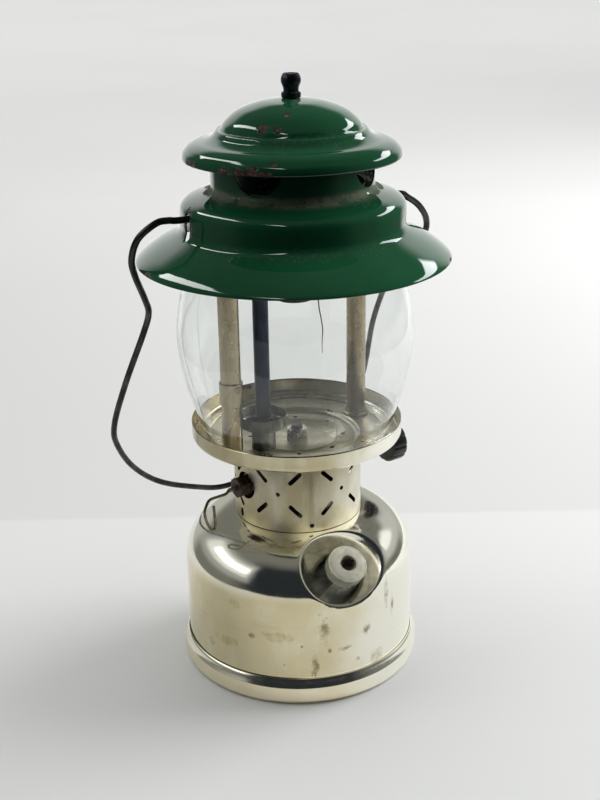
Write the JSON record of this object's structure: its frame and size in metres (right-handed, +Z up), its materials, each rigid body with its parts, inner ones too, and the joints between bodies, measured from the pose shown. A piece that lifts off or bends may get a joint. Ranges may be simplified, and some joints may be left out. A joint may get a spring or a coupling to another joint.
{
  "type": "pressure mantle lantern",
  "caption": "Pressure mantle lantern with a nickel fount and slotted collar, clear bulged globe, two-tier green enamel hood and a wire bail",
  "frame": {"origin": "centre of the flat underside of the fount's base, on the lantern's vertical axis", "axes": "+Z up along the lantern's axis, -Y the front with the filler cap to its right, +X the front's right"},
  "size_m": [0.2443, 0.2536, 0.4177],
  "materials": {
    "nickel_plate": "worn nickel plate, brownish stains",
    "cap_nickel": "dull nickel plate",
    "neck_brass": "tarnished brass",
    "plain_steel": "dull steel",
    "browned_steel": "browned, pitted steel",
    "blued_steel": "heat-blued steel",
    "tube_metal": "tarnished nickel on brass",
    "burner_casting": "sooted casting",
    "green_enamel": "glossy dark green porcelain enamel, chipped rims",
    "dark_enamel": "dark ground enamel",
    "knob_plastic": "black moulded plastic",
    "gasket_rubber": "black rubber",
    "pump_leather": "oiled leather",
    "tie_string": "singed string",
    "bail_wire": "dark steel wire",
    "clear_glass": "clear glass"
  },
  "bodies": {
    "lantern": {"fount_shell": "nickel_plate", "fount_bottom": "nickel_plate", "filler_neck": "neck_brass", "pump_barrel": "neck_brass", "pump_check_valve": "neck_brass", "pump_cap": "cap_nickel", "valve_body": "neck_brass", "fuel_pickup_tube": "neck_brass", "valve_packing_nut": "neck_brass", "cleaner_packing_nut": "browned_steel", "generator_tube": "blued_steel", "preheat_cup": "blued_steel", "generator_nut": "browned_steel", "collar": "nickel_plate", "globe_pan": "nickel_plate", "pan_nut": "cap_nickel", "air_tube": "tube_metal", "support_tube": "tube_metal", "support_foot": "tube_metal", "tube_sleeve": "tube_metal", "burner_frame": "burner_casting", "burner_cap": "burner_casting", "mantle_tie_loop": "tie_string", "mantle_tie_string": "tie_string", "bail_bracket": "plain_steel", "vent_stud": "plain_steel", "strap_nut": "plain_steel", "baffle_nut": "plain_steel", "vent_baffle": "dark_enamel", "hood": "green_enamel", "hood_cap": "green_enamel", "globe": "clear_glass"},
    "bail_body": {"bail": "bail_wire"},
    "valve_knob_body": {"valve_stem": "plain_steel", "valve_knob": "knob_plastic", "valve_knob_screw": "plain_steel"},
    "cleaner_body": {"cleaner_shaft": "plain_steel", "cleaner_lever": "plain_steel"},
    "needle_body": {"cleaning_needle": "plain_steel"},
    "gasket_body": {"filler_gasket": "gasket_rubber"},
    "cap_body": {"filler_cap": "cap_nickel"},
    "cap_screw_body": {"filler_cap_screw": "browned_steel"},
    "plunger_slide": {"pump_leather": "pump_leather"},
    "plunger_body": {"pump_rod": "plain_steel", "pump_knob": "browned_steel"},
    "air_stem_body": {"pump_air_stem": "plain_steel"},
    "ball_nut_body": {"ball_nut": "browned_steel"}
  },
  "joints": [
    {"name": "bail_swing", "type": "hinge", "parent": "lantern", "child": "bail_body", "pos_m": [0, 0, 0.332], "axis": [0.9026, 0.4305, 0], "range_deg": [-11, 313.8]},
    {"name": "valve_turn", "type": "hinge", "parent": "lantern", "child": "valve_knob_body", "pos_m": [0, 0, 0.1416], "axis": [0.829, 0.5592, 0], "range_deg": [0, 360]},
    {"name": "cleaner_turn", "type": "hinge", "parent": "lantern", "child": "cleaner_body", "pos_m": [0, 0, 0.1416], "axis": [-0.809, -0.5878, 0], "range_deg": [-45, 45]},
    {"name": "needle_slide", "type": "slide", "parent": "lantern", "child": "needle_body", "axis": [0, 0, 1], "range_m": [-0.002, 0.002]},
    {"name": "cap_rise", "type": "slide", "parent": "lantern", "child": "gasket_body", "axis": [0.2966, -0.5395, 0.788], "range_m": [0, 0.0049]},
    {"name": "cap_turn", "type": "hinge", "parent": "gasket_body", "child": "cap_body", "pos_m": [0.02891, -0.05258, 0.0848], "axis": [0.2966, -0.5395, 0.788], "range_deg": [0, 1080]},
    {"name": "cap_screw_turn", "type": "hinge", "parent": "cap_body", "child": "cap_screw_body", "pos_m": [0.02891, -0.05258, 0.0848], "axis": [0.2966, -0.5395, 0.788], "range_deg": [0, 360]},
    {"name": "pump_stroke", "type": "slide", "parent": "lantern", "child": "plunger_slide", "axis": [-0.3983, 0.6134, 0.682], "range_m": [0, 0.055]},
    {"name": "pump_turn", "type": "hinge", "parent": "plunger_slide", "child": "plunger_body", "pos_m": [-0.03268, 0.05032, 0.0865], "axis": [-0.3983, 0.6134, 0.682], "range_deg": [0, 720]},
    {"name": "air_stem_turn", "type": "hinge", "parent": "lantern", "child": "air_stem_body", "pos_m": [-0.03268, 0.05032, 0.0865], "axis": [-0.3983, 0.6134, 0.682], "range_deg": [0, 720]},
    {"name": "ball_nut_turn", "type": "hinge", "parent": "lantern", "child": "ball_nut_body", "pos_m": [0, 0, 0.4029], "axis": [0, 0, 1], "range_deg": [0, 720]}
  ],
  "couplings": [
    {"joint": "needle_slide", "follows": "cleaner_turn", "m_per_rad": 0.00243},
    {"joint": "cap_rise", "follows": "cap_turn", "m_per_rad": 0.0002546},
    {"joint": "air_stem_turn", "follows": "pump_turn", "ratio": 1}
  ]
}
